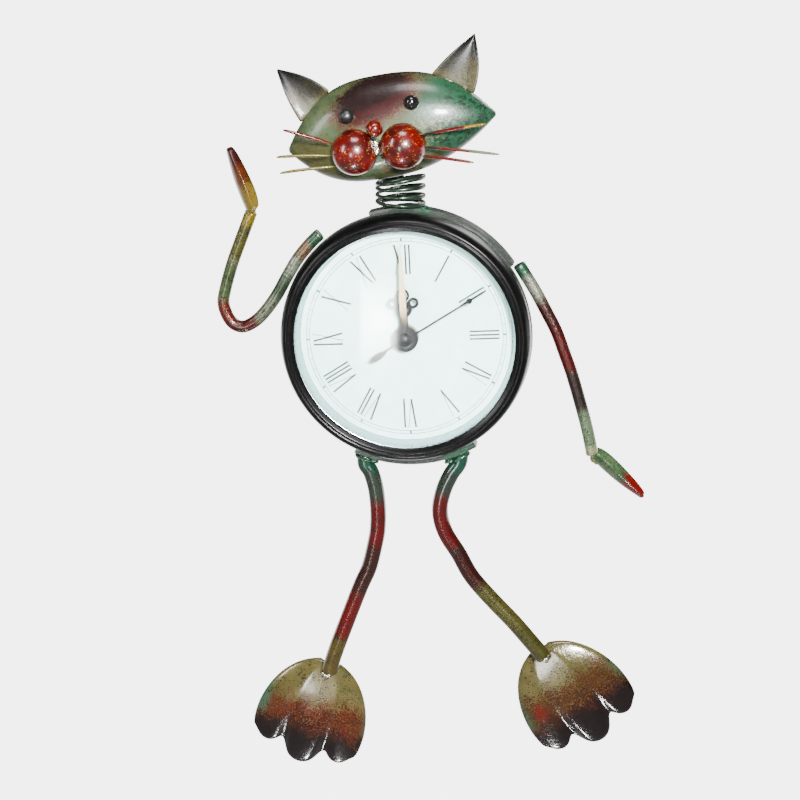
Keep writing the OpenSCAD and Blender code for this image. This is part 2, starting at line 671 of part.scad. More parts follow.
minute_phase = meshed(0, cannon_teeth, towards([0, 0], minute_arbor), minute_teeth);
module minute_wheel() color("gold") {
    gear(minute_arbor, minute_layer, minute_layer + 1, minute_teeth, motion_m, minute_phase, 0);
    gear(minute_arbor, minute_layer + 1, hour_layer + 1.3, minute_pinion_teeth, hour_m, 0, 0);
    arbor(minute_arbor, move_back - knob_gap, minute_layer, arbor_r);
}
hour_phase = meshed(0, minute_pinion_teeth, towards(minute_arbor, [0, 0]), hour_teeth);
module hour_wheel() color("gold") difference() {
    union() {
        gear([0, 0], hour_layer, hour_layer + 1, hour_teeth, hour_m, hour_phase, 0);
        arbor([0, 0], hour_layer + 1, hour_at + hand_t + 0.2, hour_tube_r);
    }
    flat(hour_layer - 1, hour_at + 2) circle(cannon_r + play, $fn = 48);
}
module intermediate_wheel() color("ivory") {
    gear(middle_arbor, middle_layer, middle_layer + 0.6, middle_teeth, rotor_m, 0, 0);
    gear(middle_arbor, middle_layer + 0.6, second_layer + 1, pinion_teeth, drive_m,
        meshed(0, second_teeth, towards([0, 0], middle_arbor), pinion_teeth), 0);
    arbor(middle_arbor, second_layer + 1, plate_layer + 0.7, arbor_r);
    arbor(middle_arbor, bearing + 0.05, middle_layer, arbor_r);
}
magnet_r = 2.5;
module rotor() color("darkslategray") {
    gear(rotor_arbor, middle_layer - 0.2, middle_layer + 0.8, pinion_teeth, rotor_m,
        meshed(0, middle_teeth, towards(middle_arbor, rotor_arbor), pinion_teeth), 0);
    arbor(rotor_arbor, middle_layer + 0.8, second_layer + 1.6, magnet_r);
    arbor(rotor_arbor, second_layer + 1.6, plate_layer + 0.7, arbor_r);
    arbor(rotor_arbor, bearing + 0.05, middle_layer - 0.2, arbor_r);
}
knob_t = 2.2;
knob_gap = 0.1;
module setting_knob() color("gainsboro")
    at_arbor(minute_arbor) flat(move_back - knob_gap - knob_t, move_back - knob_gap) difference() {
        circle(knob_r, $fn = 64);
        for (k = [0 : 15]) rotate(k * 22.5) translate([knob_r + 0.25, 0]) circle(0.6, $fn = 16);
    }

coil_at = [0, 22.2];
core_w = 3.4;
core_t = 0.8;
coil_r = 3.4;
coil_len = 15;
module stator() color("silver") flat(second_layer + 0.4, second_layer + 0.4 + core_t) difference() {
    polygon([[-14, 23.9], [-14, 17], [2.5, 7.4], [14, 6.8], [14, 23.9]]);
    polygon([[-9.6, 20.5], [-9.6, 18.4], [3.6, 13.6], [10.4, 15], [10.4, 20.5]]);
    translate(rotor_arbor) circle(magnet_r + 0.4, $fn = 48);
    translate(middle_arbor) circle(2.2, $fn = 32);
}
module coil() color("peru") translate([coil_at[0] - coil_len / 2, -(second_layer + 0.8), dial_z + coil_at[1]])
    difference() {
        rotate([0, 90, 0]) cylinder(r = coil_r, h = coil_len, $fn = 48);
        translate([-1, -core_t / 2, -core_w / 2]) cube([coil_len + 2, core_t, core_w]);
    }

board_at = [-26, -8];
module circuit_board() color("darkgreen") {
    flat(move_back + move_wall, move_back + move_wall + 0.8) translate(board_at) square([9, 22]);
    flat(move_back + move_wall + 0.8, move_back + move_wall + 2) translate(board_at + [2.5, 3]) square([4, 5]);
}
module quartz_crystal() color("silver")
    translate([board_at[0] + 4.5, -(move_back + move_wall + 0.8 + 1), dial_z + board_at[1] + 12])
        cylinder(r = 1, h = 6.5, $fn = 32);

battery_l = 49;
nub_l = 1.2;
contact_t = 0.4;
touch = 0.05;
battery_x = room - contact_t - touch - nub_l - battery_l;
module battery() color("darkgoldenrod") translate([battery_x, -battery_depth, dial_z + battery_z])
    rotate([0, 90, 0]) {
        cylinder(r = battery_r, h = battery_l, $fn = 64);
        translate([0, 0, battery_l]) cylinder(r = 2.7, h = nub_l, $fn = 32);
    }
contact_w = 8;
contact_h = 11;
module contact(x)
    translate([x, -battery_depth - contact_h / 2, dial_z + battery_z - contact_w / 2])
        cube([contact_t, contact_h, contact_w]);
module contact_positive() color("silver") contact(room - contact_t);
module contact_negative() color("silver") {
    contact(-room);
    translate([-room + contact_t, -battery_depth, dial_z + battery_z]) rotate([0, 90, 0])
        cylinder(r1 = 4, r2 = 2, h = battery_x + room - contact_t - touch, $fn = 32);
}

case_drum();
neck_strip();
leg_strip();
hanger_strap();
arm_left();
arm_right();
paw_left();
paw_right();
leg_left();
leg_right();
foot_left();
foot_right();
neck_spring();
head_front();
head_back();
ear_left();
ear_right();
eyes();
nose();
cheek_left();
cheek_right();
whiskers_left();
whiskers_right();
muzzle_weld();
bezel();
lens();
reflector_ring();
dial();
insert_cup();
gasket_ring();
dial_washer();
mounting_nut();
hour_hand();
minute_hand();
second_hand();
movement_case();
movement_cover();
middle_plate();
circuit_board();
quartz_crystal();
coil();
stator();
rotor();
intermediate_wheel();
second_wheel();
third_wheel();
centre_wheel();
minute_wheel();
hour_wheel();
setting_knob();
battery();
contact_positive();
contact_negative();
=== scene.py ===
import math

import bmesh
import bpy
from mathutils import Euler, Matrix, Vector, noise


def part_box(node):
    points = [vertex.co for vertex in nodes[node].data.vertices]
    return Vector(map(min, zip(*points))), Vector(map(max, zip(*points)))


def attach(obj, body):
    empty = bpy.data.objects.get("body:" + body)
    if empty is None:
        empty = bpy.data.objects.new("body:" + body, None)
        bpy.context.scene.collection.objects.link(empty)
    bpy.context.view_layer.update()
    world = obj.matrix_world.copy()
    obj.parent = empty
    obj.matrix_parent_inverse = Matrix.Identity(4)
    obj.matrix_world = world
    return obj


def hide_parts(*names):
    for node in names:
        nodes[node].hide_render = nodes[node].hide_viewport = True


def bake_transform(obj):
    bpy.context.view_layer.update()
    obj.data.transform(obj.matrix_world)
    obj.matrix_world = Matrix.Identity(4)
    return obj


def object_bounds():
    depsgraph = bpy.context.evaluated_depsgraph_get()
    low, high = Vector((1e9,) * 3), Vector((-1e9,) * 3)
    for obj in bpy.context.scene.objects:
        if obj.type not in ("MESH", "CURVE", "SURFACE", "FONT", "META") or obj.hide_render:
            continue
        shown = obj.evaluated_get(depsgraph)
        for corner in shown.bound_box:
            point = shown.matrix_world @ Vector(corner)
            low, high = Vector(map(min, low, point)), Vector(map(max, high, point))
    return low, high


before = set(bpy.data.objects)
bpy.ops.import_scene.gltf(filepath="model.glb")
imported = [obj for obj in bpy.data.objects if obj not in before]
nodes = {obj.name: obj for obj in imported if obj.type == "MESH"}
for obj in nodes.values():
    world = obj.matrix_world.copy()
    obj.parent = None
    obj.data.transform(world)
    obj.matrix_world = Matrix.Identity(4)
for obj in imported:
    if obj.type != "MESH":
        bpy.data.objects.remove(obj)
cad_low, cad_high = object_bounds()

MM = 0.001
DIAL = Vector((0, -21, -40))
DIAL_TURN = 3
HEAD = Vector((-7.1, 0, 52.26))
HEAD_TILT = math.radians(10.8)


# ---- Shader maths

def paint(red, green, blue):
    """A screen colour, 0 to 255, as the linear colour that a shader takes."""
    return tuple((c / 255 / 12.92) if c < 11 else ((c / 255 + 0.055) / 1.055) ** 2.4
                 for c in (red, green, blue)) + (1.0,)


def deep(red, green, blue, depth=0.21, strength=1.15):
    """The colour of a dark, glossy coat of paint, richer than the screen colour it is given."""
    linear = paint(red, green, blue)[:3]
    grey = sum(linear) / 3
    return tuple(max(0.0, grey + (c - grey) * strength) * depth for c in linear) + (1.0,)


class Value:
    """A shader socket that takes part in Python sums."""

    def __init__(self, finish, socket):
        self.finish = finish
        self.socket = socket

    def maths(self, operation, *values):
        return self.finish.node("ShaderNodeMath", {"operation": operation}, *values)

    def __add__(self, other):
        return self.maths("ADD", self, other)

    def __sub__(self, other):
        return self.maths("SUBTRACT", self, other)

    def __rsub__(self, other):
        return self.maths("SUBTRACT", other, self)

    def __mul__(self, other):
        return self.maths("MULTIPLY", self, other)

    __radd__ = __add__
    __rmul__ = __mul__

    def step(self, low, high):
        """0 below low, 1 above high, smooth between; low may be the larger."""
        if low < high:
            return self.finish.node("ShaderNodeMapRange", {"interpolation_type": "SMOOTHSTEP"},
                                    self, low, high, 0.0, 1.0)
        return 1 - self.step(high, low)


class Finish:
    """One surface finish. Places and sizes in it are in millimetres."""

    def __init__(self, name):
        self.material = bpy.data.materials.new(name)
        self.material.use_nodes = True
        self.tree = self.material.node_tree
        self.tree.nodes.clear()
        self.output = self.tree.nodes.new("ShaderNodeOutputMaterial")
        self.shader = self.tree.nodes.new("ShaderNodeBsdfPrincipled")
        self.tree.links.new(self.shader.outputs[0], self.output.inputs[0])
        where = self.node("ShaderNodeTexCoord", {}, output=3)
        self.place = self.node("ShaderNodeVectorMath", {"operation": "SCALE"}, where, Scale=1000.0)
        parts = self.node("ShaderNodeSeparateXYZ", {}, self.place)
        outputs = parts.socket.node.outputs
        self.x, self.y, self.z = (Value(self, outputs[i]) for i in range(3))

    def node(self, kind, settings, *values, output=0, **named):
        made = self.tree.nodes.new(kind)
        for key, setting in settings.items():
            setattr(made, key, setting)
        sockets = list(zip(made.inputs, values))
        sockets += [(made.inputs[key.replace("_", " ")], value) for key, value in named.items()]
        for socket, value in sockets:
            if isinstance(value, Value):
                self.tree.links.new(value.socket, socket)
            else:
                socket.default_value = value
        return Value(self, made.outputs[output])

    def cloud(self, size, detail=3.0, distortion=0.0):
        """Noise, about 0.25 to 0.75, whose features are about size across."""
        return self.node("ShaderNodeTexNoise", {}, self.place, Scale=1 / size, Detail=detail,
                         Distortion=distortion)

    def mix(self, amount, under, over, mode="MIX"):
        made = self.tree.nodes.new("ShaderNodeMix")
        made.data_type = "RGBA"
        made.blend_type = mode
        for index, value in ((0, amount), (6, under), (7, over)):
            if isinstance(value, Value):
                self.tree.links.new(value.socket, made.inputs[index])
            else:
                made.inputs[index].default_value = value
        return Value(self, made.outputs[2])

    def near(self, point, radius, soft):
        """1 inside a ball about a point, falling to 0 over soft."""
        far = self.node("ShaderNodeVectorMath", {"operation": "DISTANCE"}, self.place, tuple(point), output=1)
        return far.step(radius + soft, radius)

    def oval(self, x, y, centre, half, turn):
        """1 at the middle of a turned oval in two coordinates, 0 at its edge."""
        c, s = math.cos(math.radians(turn)), math.sin(math.radians(turn))
        along = ((x - centre[0]) * c + (y - centre[1]) * s) * (1 / half[0])
        across = ((y - centre[1]) * c - (x - centre[0]) * s) * (1 / half[1])
        return 1 - (along * along + across * across)

    def sprayed(self, mask, reach=0.9, grain=0.55):
        """A soft mask broken into the dots of sprayed paint."""
        dots = self.cloud(grain, 2.0)
        return (mask + (dots - 0.5) * (2 * reach)).step(0.22, 0.78)

    def bump(self, height, strength, distance=0.2):
        made = self.node("ShaderNodeBump", {}, Strength=strength, Distance=distance * MM, Height=height)
        self.tree.links.new(made.socket, self.shader.inputs["Normal"])

    def set(self, **values):
        for key, value in values.items():
            socket = self.shader.inputs[key.replace("_", " ")]
            if isinstance(value, Value):
                self.tree.links.new(value.socket, socket)
            else:
                socket.default_value = value
        return self


def patina(name, ground, layers, gloss=0.3, sheen=0.2, dots=(28, 26, 20), dot_amount=0.35, relief=0.3,
           coat=0.14):
    """Sprayed colours over metal, under clear lacquer. Layers are functions of the finish that give a
    mask and a colour, from the lowest to the highest."""
    finish = Finish(name)
    wide = finish.cloud(9, 3.0, 0.6)
    colour = finish.mix(wide.step(0.35, 0.65), deep(*ground[0]), deep(*ground[1]))
    for layer in layers:
        mask, over = layer(finish)
        colour = finish.mix(finish.sprayed(mask), colour, deep(*over))
    fine = finish.cloud(0.8, 3.0)
    patches = finish.cloud(6, 2.0).step(0.42, 0.62)
    speckle = (fine + patches * 0.1).step(0.6, 0.68) * dot_amount
    colour = finish.mix(speckle, colour, deep(*dots))
    sponge = finish.cloud(1.6, 4.0)
    finish.set(Base_Color=colour, Roughness=(sponge * 0.14 + (gloss - 0.07)), Metallic=sheen,
               Coat_Weight=coat, Coat_Roughness=0.1, Specular_IOR_Level=0.22)
    finish.bump(sponge + fine * 0.4, relief)
    return finish.material


def moulded(name, colour, rough, grain=0.4, relief=0.12, specular=0.45):
    """Moulded plastic or rubber with a fine texture."""
    finish = Finish(name)
    mottle = finish.cloud(grain, 3.0)
    wear = finish.cloud(8, 2.0).step(0.4, 0.7)
    tone = finish.mix(wear * 0.25, paint(*colour), paint(*[min(255, int(c * 1.25) + 6) for c in colour]))
    finish.set(Base_Color=tone, Roughness=mottle * 0.12 + (rough - 0.06),
               Specular_IOR_Level=specular)
    finish.bump(mottle, relief)
    return finish.material


def bare_metal(name, colour, rough, streak=(0.3, 3.0, 3.0)):
    """Turned or drawn metal with faint streaks."""
    finish = Finish(name)
    stretched = finish.node("ShaderNodeVectorMath", {"operation": "MULTIPLY"}, finish.place, streak)
    lines = finish.node("ShaderNodeTexNoise", {}, stretched, Scale=1.2, Detail=4.0)
    tone = finish.mix(lines * 0.4, paint(*colour), paint(*[int(c * 0.7) for c in colour]))
    finish.set(Base_Color=tone, Roughness=lines * 0.16 + (rough - 0.08), Metallic=1.0)
    finish.bump(lines, 0.06)
    return finish.material


# ---- Painted finishes

def dial_place(x, z, depth=14.5):
    """A point given about the dial's centre, in millimetres."""
    return (x, -depth, DIAL.z + z)


def spot(x, z, radius, soft, colour, depth=14.5):
    return lambda f: (f.near(dial_place(x, z, depth), radius, soft), colour)


def head_axes(finish):
    """The head's own two coordinates, along its length and up."""
    c, s = math.cos(HEAD_TILT), math.sin(HEAD_TILT)
    x = (finish.x - HEAD.x) * c + (finish.z - HEAD.z) * s
    y = (finish.z - HEAD.z) * c - (finish.x - HEAD.x) * s
    return x, y


def head_oval(centre, half, turn, colour, top=1.0, bite=0.0, fade=0.75):
    def layer(finish):
        x, y = head_axes(finish)
        mask = finish.oval(x, y, centre, half, turn).step(0.0, fade) * top
        if bite:
            mask = mask * finish.cloud(2.0, 5.0, 0.3).step(0.5 - bite, 0.5 + bite)
        return mask, colour
    return layer


def head_rim(finish):
    x, y = head_axes(finish)
    edge = finish.oval(x, y, (0, 2.5), (49, 25), 0)
    return edge.step(0.34, 0.0) * 0.62, (46, 62, 48)


MAROON = (64, 10, 8)
head_paint = patina("head_sponged_green", ((78, 102, 72), (104, 118, 84)), [
    head_oval((31, 4), (24, 24), 20, (48, 98, 70), 0.95),
    head_oval((-36, -7), (20, 17), 0, (90, 86, 48), 0.7),
    # Painted highlight: a pale cream patch under the right eye, partly the paint's own light tone.
    head_oval((16, 0), (24, 11), 12, (200, 198, 152), 0.75, fade=1.7),
        head_oval((6, -15), (22, 7), 6, (110, 64, 34), 0.6, 0.1),
    head_oval((31, 1), (21, 17), 10, (26, 44, 32), 0.62, 0.06),
    head_rim,
    head_oval((-4, 16), (31, 15), 12, (120, 32, 18), 0.9, fade=1.1),
    head_oval((-4, 17), (27, 12.6), 12, MAROON, fade=1.0),
    head_oval((-5, 20), (22, 8), 12, (30, 6, 6), 0.85),
], gloss=0.34, dot_amount=0.45, coat=0.12, sheen=0.1)
head_back_paint = patina("head_back_green", ((70, 96, 76), (92, 112, 84)), [
    head_oval((0, 2), (30, 14), 0, (46, 62, 50), 0.7, 0.12)], dot_amount=0.45)


def head_place(x, y, height=0.0):
    """A point of the head's own frame, in millimetres: height is towards the viewer."""
    c, s = math.cos(HEAD_TILT), math.sin(HEAD_TILT)
    return HEAD + Vector((x * c - y * s, -height, x * s + y * c))


def ear_paint(name, tip, edge, root):
    def shade(place, radius, soft, colour, top=1.0):
        return lambda f: (f.near(head_place(*place, 14), radius, soft) * top, colour)
    return patina(name, ((74, 66, 38), (96, 86, 52)), [
        shade(root, 3, 8, (108, 106, 74), 0.7),
        shade(edge, 4, 10, (34, 34, 22), 0.8),
        shade(tip, 4, 15, (18, 18, 14))], gloss=0.45, sheen=0.0, dot_amount=0.6, coat=0.05)


ear_left_paint = ear_paint("ear_khaki_left", (-45.2, 36), (-33, 29), (-32, 17))
ear_right_paint = ear_paint("ear_khaki_right", (44, 36), (32, 30), (33, 18))

cheek_paint = Finish("cheek_red")
flakes = cheek_paint.node("ShaderNodeTexVoronoi", {}, cheek_paint.place, Scale=1.15)
chance = cheek_paint.cloud(3.0, 2.0)
flake = flakes.step(0.25, 0.16) * chance.step(0.44, 0.56)
shade = cheek_paint.cloud(7, 3.0).step(0.36, 0.68)
red_coat = cheek_paint.mix(shade, deep(120, 6, 10), deep(62, 4, 7))
cheek_paint.set(Base_Color=cheek_paint.mix(flake, red_coat, deep(224, 160, 66, 0.5)), Roughness=0.3,
                Metallic=0.1, Coat_Weight=0.4, Coat_Roughness=0.12, Specular_IOR_Level=0.2)
cheek_paint.bump(cheek_paint.cloud(1.4, 3.0) + flake * 0.3, 0.25)
cheek_paint = cheek_paint.material

arm_left_paint = patina("arm_silvery_green", ((126, 140, 116), (160, 166, 146)), [
    # Painted highlight: a pinkish-beige patch high on the upper arm.
    spot(-47, 39, 2, 7, (132, 104, 78)),
    spot(-41, 43, 3, 4, (60, 96, 70)),
    spot(-60, 16, 5, 12, (66, 84, 62)),
    spot(-66, 7, 5, 12, (120, 128, 106)),
    spot(-79, 1, 6, 10, (84, 24, 16)),
    spot(-86, 9, 3, 9, (112, 44, 30)),
    spot(-84, 24, 5, 10, (84, 98, 62)),
    spot(-77, 42, 5, 11, (98, 96, 48)),
    spot(-71.5, 54, 3, 6, (158, 138, 52))], relief=1.2, dot_amount=0.85, gloss=0.3, sheen=0.45)
arm_right_paint = patina("arm_grey_maroon", ((134, 140, 124), (164, 166, 148)), [
    spot(51, 34, 4, 6, (48, 92, 68)),
    spot(66, 6, 7, 12, (70, 30, 24)),
    spot(71, -8, 8, 12, (88, 16, 14)),
    spot(77, -26, 6, 10, (44, 30, 24)),
    spot(83, -44, 5, 10, (122, 142, 110)),
    spot(86, -55, 3, 5, (176, 178, 138))], relief=1.0, dot_amount=0.8, gloss=0.3, sheen=0.4)
paw_left_paint = patina("paw_brown_gold", ((128, 84, 40), (96, 52, 28)), [
    spot(-73, 60, 5, 9, (150, 128, 60)),
    spot(-82, 82, 5, 10, (66, 20, 14)),
    spot(-80, 72, 3, 6, (142, 58, 26))], dot_amount=0.5)
paw_right_paint = patina("paw_green_red", ((78, 112, 74), (58, 88, 60)), [
    spot(92, -62, 4, 8, (104, 128, 88)),
    spot(106, -73, 5, 11, (132, 20, 20))], dot_amount=0.5)
leg_left_paint = patina("leg_red_left", ((40, 34, 26), (60, 44, 32)), [
    spot(-17, -70, 9, 14, (50, 60, 50)),
    spot(-14, -94, 7, 14, (96, 10, 12)),
    spot(-19, -114, 8, 10, (56, 24, 18)),
    spot(-29, -138, 7, 13, (104, 20, 14)),
    spot(-36, -162, 8, 12, (92, 78, 38)),
    spot(-17, -61, 3, 6, (34, 82, 62))], gloss=0.24, dot_amount=0.85, relief=0.45, coat=0.4)
leg_right_paint = patina("leg_red_right", ((38, 32, 24), (56, 46, 32)), [
    spot(21, -66, 9, 14, (50, 60, 52)),
    spot(16, -90, 7, 14, (92, 10, 12)),
    spot(28, -114, 7, 9, (58, 18, 16)),
    spot(46, -136, 12, 14, (88, 84, 40)),
    spot(60, -151, 8, 10, (76, 74, 34)),
    spot(24, -60, 3, 6, (34, 82, 62))], gloss=0.24, dot_amount=0.85, relief=0.45, coat=0.4)


def foot_paint(name, heel, aim, rim, middle, side, side_colour):
    """A foot's bands run across it, from the heel along its aim."""
    c, s = math.cos(math.radians(aim)), math.sin(math.radians(aim))

    def axes(finish):
        along = (finish.x - heel[0]) * c + (finish.z - (DIAL.z + heel[1])) * s
        across = (finish.z - (DIAL.z + heel[1])) * c - (finish.x - heel[0]) * s
        return along, across

    def band(start, full, colour, top=1.0, bow=0.0):
        def layer(finish):
            along, across = axes(finish)
            waves = finish.cloud(7, 2.0)
            return (along + across * across * bow + (waves - 0.5) * 14).step(start, full) * top, colour
        return layer

    def edges(finish):
        along, across = axes(finish)
        wide = across * across * (1 / 660)
        return wide.step(0.5, 1.15) * along.step(46, 26) * 0.9, rim

    def patch(finish):
        along, across = axes(finish)
        return finish.oval(along, across, side, (11, 6), 0).step(0, 1.2) * 0.7, side_colour

    return patina(name, ((108, 102, 62), (128, 118, 76)), [
        band(9, 26, middle, 0.75), edges, patch, band(20, 40, (62, 16, 10), 0.9, -0.004),
        band(29, 42, (22, 7, 8), 1.0)], gloss=0.2, dot_amount=0.7, relief=0.5, coat=0.4)


foot_left_paint = foot_paint("foot_left_bands", (-38, -166), -105, (84, 112, 88), (100, 38, 14),
                             (34, 14), (120, 22, 16))
foot_right_paint = foot_paint("foot_right_bands", (63, -154), -55, (80, 106, 78), (84, 46, 18),
                              (28, -17), (130, 14, 22))

case_paint = patina("case_worn_green", ((58, 66, 58), (82, 90, 80)), [
    spot(-54, 16, 2, 4, (150, 14, 16), 19)], dot_amount=0.6, relief=0.5)
strip_paint = patina("strip_grey_green", ((46, 54, 48), (66, 72, 66)), [
    spot(3, 59, 6, 7, (46, 92, 66)), spot(-20, -58, 5, 8, (38, 84, 60)), spot(25, -57, 5, 8, (38, 84, 60))],
    dot_amount=0.7, relief=0.6)
spring_paint = patina("spring_green_steel", ((58, 76, 62), (88, 104, 88)), [], sheen=0.7, dot_amount=0.5)
weld_paint = patina("weld_green", ((40, 86, 64), (66, 104, 80)), [], sheen=0.4, relief=0.8)
bead_metal = bare_metal("weld_silver", (196, 192, 172), 0.22, (1, 1, 1))


def whisker_paint(name, tip, rings):
    return patina(name, (tip, tip), rings, dot_amount=0.3, sheen=0.3)


def head_spot(x, y, radius, soft, colour):
    return lambda f: (f.near(head_place(x, y, 31), radius, soft), colour)


def upper_left(finish):
    x, y = head_axes(finish)
    return (y + x * 0.3 + 5.9).step(-1, 1), (120, 22, 18)


def right_tip(colour, above):
    def layer(finish):
        x, y = head_axes(finish)
        side = y.step(-8, -6) if above else y.step(-6, -8)
        return x.step(33.5, 35.5) * side, colour
    return layer


whiskers_left_paint = whisker_paint("whisker_olive", (122, 112, 42), [
    upper_left, head_spot(-52, 2, 3, 3, (92, 44, 26))])
whiskers_right_paint = whisker_paint("whisker_red", (118, 26, 20), [
    right_tip((182, 144, 54), True), right_tip((116, 128, 92), False),
    head_spot(36, -17.5, 3.5, 2, (84, 132, 108)), head_spot(14, -3, 6, 4, (44, 34, 24))])

# ---- Clock finishes

bezel_gloss = moulded("bezel_black", (2, 2, 2), 0.28, 0.3, 0.03, 0.1)
eye_gloss = Finish("eye_black").set(Specular_IOR_Level=0.4)
eye_gloss.set(Roughness=eye_gloss.x.step(-10, -20) * 0.25 + 0.14,
              Base_Color=eye_gloss.mix(eye_gloss.cloud(2.0) * 0.5, paint(5, 5, 5), paint(14, 12, 11)))
eye_gloss = eye_gloss.material
hand_metal = Finish("hand_black")
hand_grain = hand_metal.cloud(0.8, 3.0)
hand_metal.set(Base_Color=hand_metal.mix(hand_grain, paint(8, 9, 10), paint(20, 20, 20)),
               Roughness=hand_grain * 0.15 + 0.35, Specular_IOR_Level=0.2)
hand_metal.bump(hand_grain, 0.08)
hand_metal = hand_metal.material
# The minute hand is black: the cream-gold on its blade is a painted reflection; near the hub and on the tail
# it stays dark grey.
minute_hand_reflection = Finish("minute_hand_painted_reflection")
reflection_grain = minute_hand_reflection.cloud(1.2, 3.0)
painted_reflection = minute_hand_reflection.mix(reflection_grain, paint(196, 160, 112), paint(232, 208, 168))
minute_hand_reflection.set(Base_Color=minute_hand_reflection.mix(minute_hand_reflection.z.step(-34, -22) * 0.9, paint(44, 44, 42), painted_reflection),
               Roughness=reflection_grain * 0.1 + 0.3, Metallic=0.5)
minute_hand_reflection = minute_hand_reflection.material
dial_print = moulded("dial_print", (30, 29, 28), 0.55, 0.5, 0.02)
dial_white = moulded("dial_mint_white", (188, 226, 217), 0.5, 0.5, 0.02)
reflector = bare_metal("reflector_silver", (196, 214, 216), 0.28, (0.6, 0.6, 0.6))
black_plastic = moulded("movement_black", (30, 30, 32), 0.5, 0.35, 0.25)
grey_plastic = moulded("cup_grey", (52, 53, 55), 0.5, 0.4, 0.2)
rubber = moulded("gasket_rubber", (28, 28, 28), 0.75, 0.5, 0.2)
ivory = moulded("wheel_ivory", (226, 220, 198), 0.42, 0.5, 0.05)
board = moulded("board_green", (22, 82, 44), 0.4, 0.8, 0.1)
brass = bare_metal("brass", (196, 156, 84), 0.28, (1, 1, 1))
steel = bare_metal("contact_steel", (196, 198, 198), 0.3)
copper = bare_metal("coil_copper", (190, 100, 52), 0.35, (6.0, 0.4, 0.4))

wrap = Finish("battery_wrap")
band = wrap.x.step(13.6, 14.0)
wrap.set(Base_Color=wrap.mix(band, wrap.mix(wrap.cloud(4) * 0.3, paint(26, 27, 29), paint(52, 54, 58)),
                             paint(184, 112, 58)),
         Roughness=wrap.cloud(1.5) * 0.1 + 0.24, Metallic=band * 0.8 + 0.1)
wrap = wrap.material

lens_glass = Finish("lens_glass")
clear = lens_glass.node("ShaderNodeBsdfTransparent", {}, (0.985, 0.995, 0.995, 1.0))
mirror = lens_glass.node("ShaderNodeBsdfGlossy", {}, (1.0, 1.0, 1.0, 1.0), 0.07)
edge_on = lens_glass.node("ShaderNodeFresnel", {}, 1.45)
smear = lens_glass.cloud(22, 2.0).step(0.3, 0.8) * 0.02
glass = lens_glass.node("ShaderNodeMixShader", {}, (edge_on * 0.9 + smear), clear, mirror)
lens_glass.tree.links.new(glass.socket, lens_glass.output.inputs[0])
lens_glass.tree.nodes.remove(lens_glass.shader)
lens_glass = lens_glass.material


# ---- Shapes

def piece(name, mesh, material, body, smooth=True):
    """A finished bmesh, in metres, as an object that rides on a body."""
    data = bpy.data.meshes.new(name)
    mesh.to_mesh(data)
    mesh.free()
    made = bpy.data.objects.new(name, data)
    bpy.context.scene.collection.objects.link(made)
    data.materials.append(material)
    for face in data.polygons:
        face.use_smooth = smooth
    if body:
        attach(made, body)
    return made


def refined(node, name, material, body):
    """A smoothed copy of a CAD node, which it stands for."""
    mesh = bmesh.new()
    mesh.from_mesh(nodes[node].data)
    bmesh.ops.remove_doubles(mesh, verts=mesh.verts, dist=2e-6)
    bmesh.ops.join_triangles(mesh, faces=mesh.faces, angle_face_threshold=math.radians(25),
                             angle_shape_threshold=math.radians(60))
    made = piece(name, mesh, material, body)
    softened = made.modifiers.new("soft", "SUBSURF")
    softened.levels = softened.render_levels = 1
    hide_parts(node)
    return made


def about_dial(point_r_depth):
    """A profile point, [radius, depth], at the dial's right."""
    r, depth = point_r_depth
    return Vector((r, -depth, DIAL.z)) * MM


def turned(name, profile, material, body, steps=192):
    """A ring about the dial's axis, spun from a closed profile."""
    mesh = bmesh.new()
    corners = [mesh.verts.new(about_dial(p)) for p in profile]
    edges = [mesh.edges.new((a, b)) for a, b in zip(corners, corners[1:] + corners[:1])]
    bmesh.ops.spin(mesh, geom=corners + edges, cent=Vector((0, 0, DIAL.z)) * MM, axis=(0, 1, 0),
                   angle=math.tau, steps=steps, use_merge=True, use_duplicate=False)
    bmesh.ops.remove_doubles(mesh, verts=mesh.verts, dist=1e-6)
    bmesh.ops.recalc_face_normals(mesh, faces=mesh.faces)
    return piece(name, mesh, material, body)


def lumps(name, balls, material, body, rough=0.16):
    """Weld beads: flattened balls, in millimetres, with a lumpy skin. Each is (centre, size, turn)."""
    mesh = bmesh.new()
    for index, (centre, size, turn) in enumerate(balls):
        turned_to = Euler([math.radians(a) for a in turn]).to_matrix().to_4x4()
        place = Matrix.Translation(Vector(centre) * MM) @ turned_to
        grown = Matrix.Diagonal((*[s * MM for s in size], 1))
        made = bmesh.ops.create_icosphere(mesh, subdivisions=4, radius=1.0)["verts"]
        for vert in made:
            lump = noise.noise(vert.co * 1.7 + Vector((index * 3.1, 0, 0)))
            vert.co *= 1 + rough * lump + 0.4 * rough * noise.noise(vert.co * 4.5)
        bmesh.ops.transform(mesh, matrix=place @ grown, verts=made)
    return piece(name, mesh, material, body)


# ---- Head

refined("head_front", "head_front_shell", head_paint, "head")
refined("head_back", "head_back_shell", head_back_paint, "head")
refined("ear_left", "ear_left_plate", ear_left_paint, "head")
refined("ear_right", "ear_right_plate", ear_right_paint, "head")
refined("whiskers_left", "whisker_wires_left", whiskers_left_paint, "head")
refined("whiskers_right", "whisker_wires_right", whiskers_right_paint, "head")


def node_centre(node):
    low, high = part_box(node)
    return (low + high) / 2 / MM


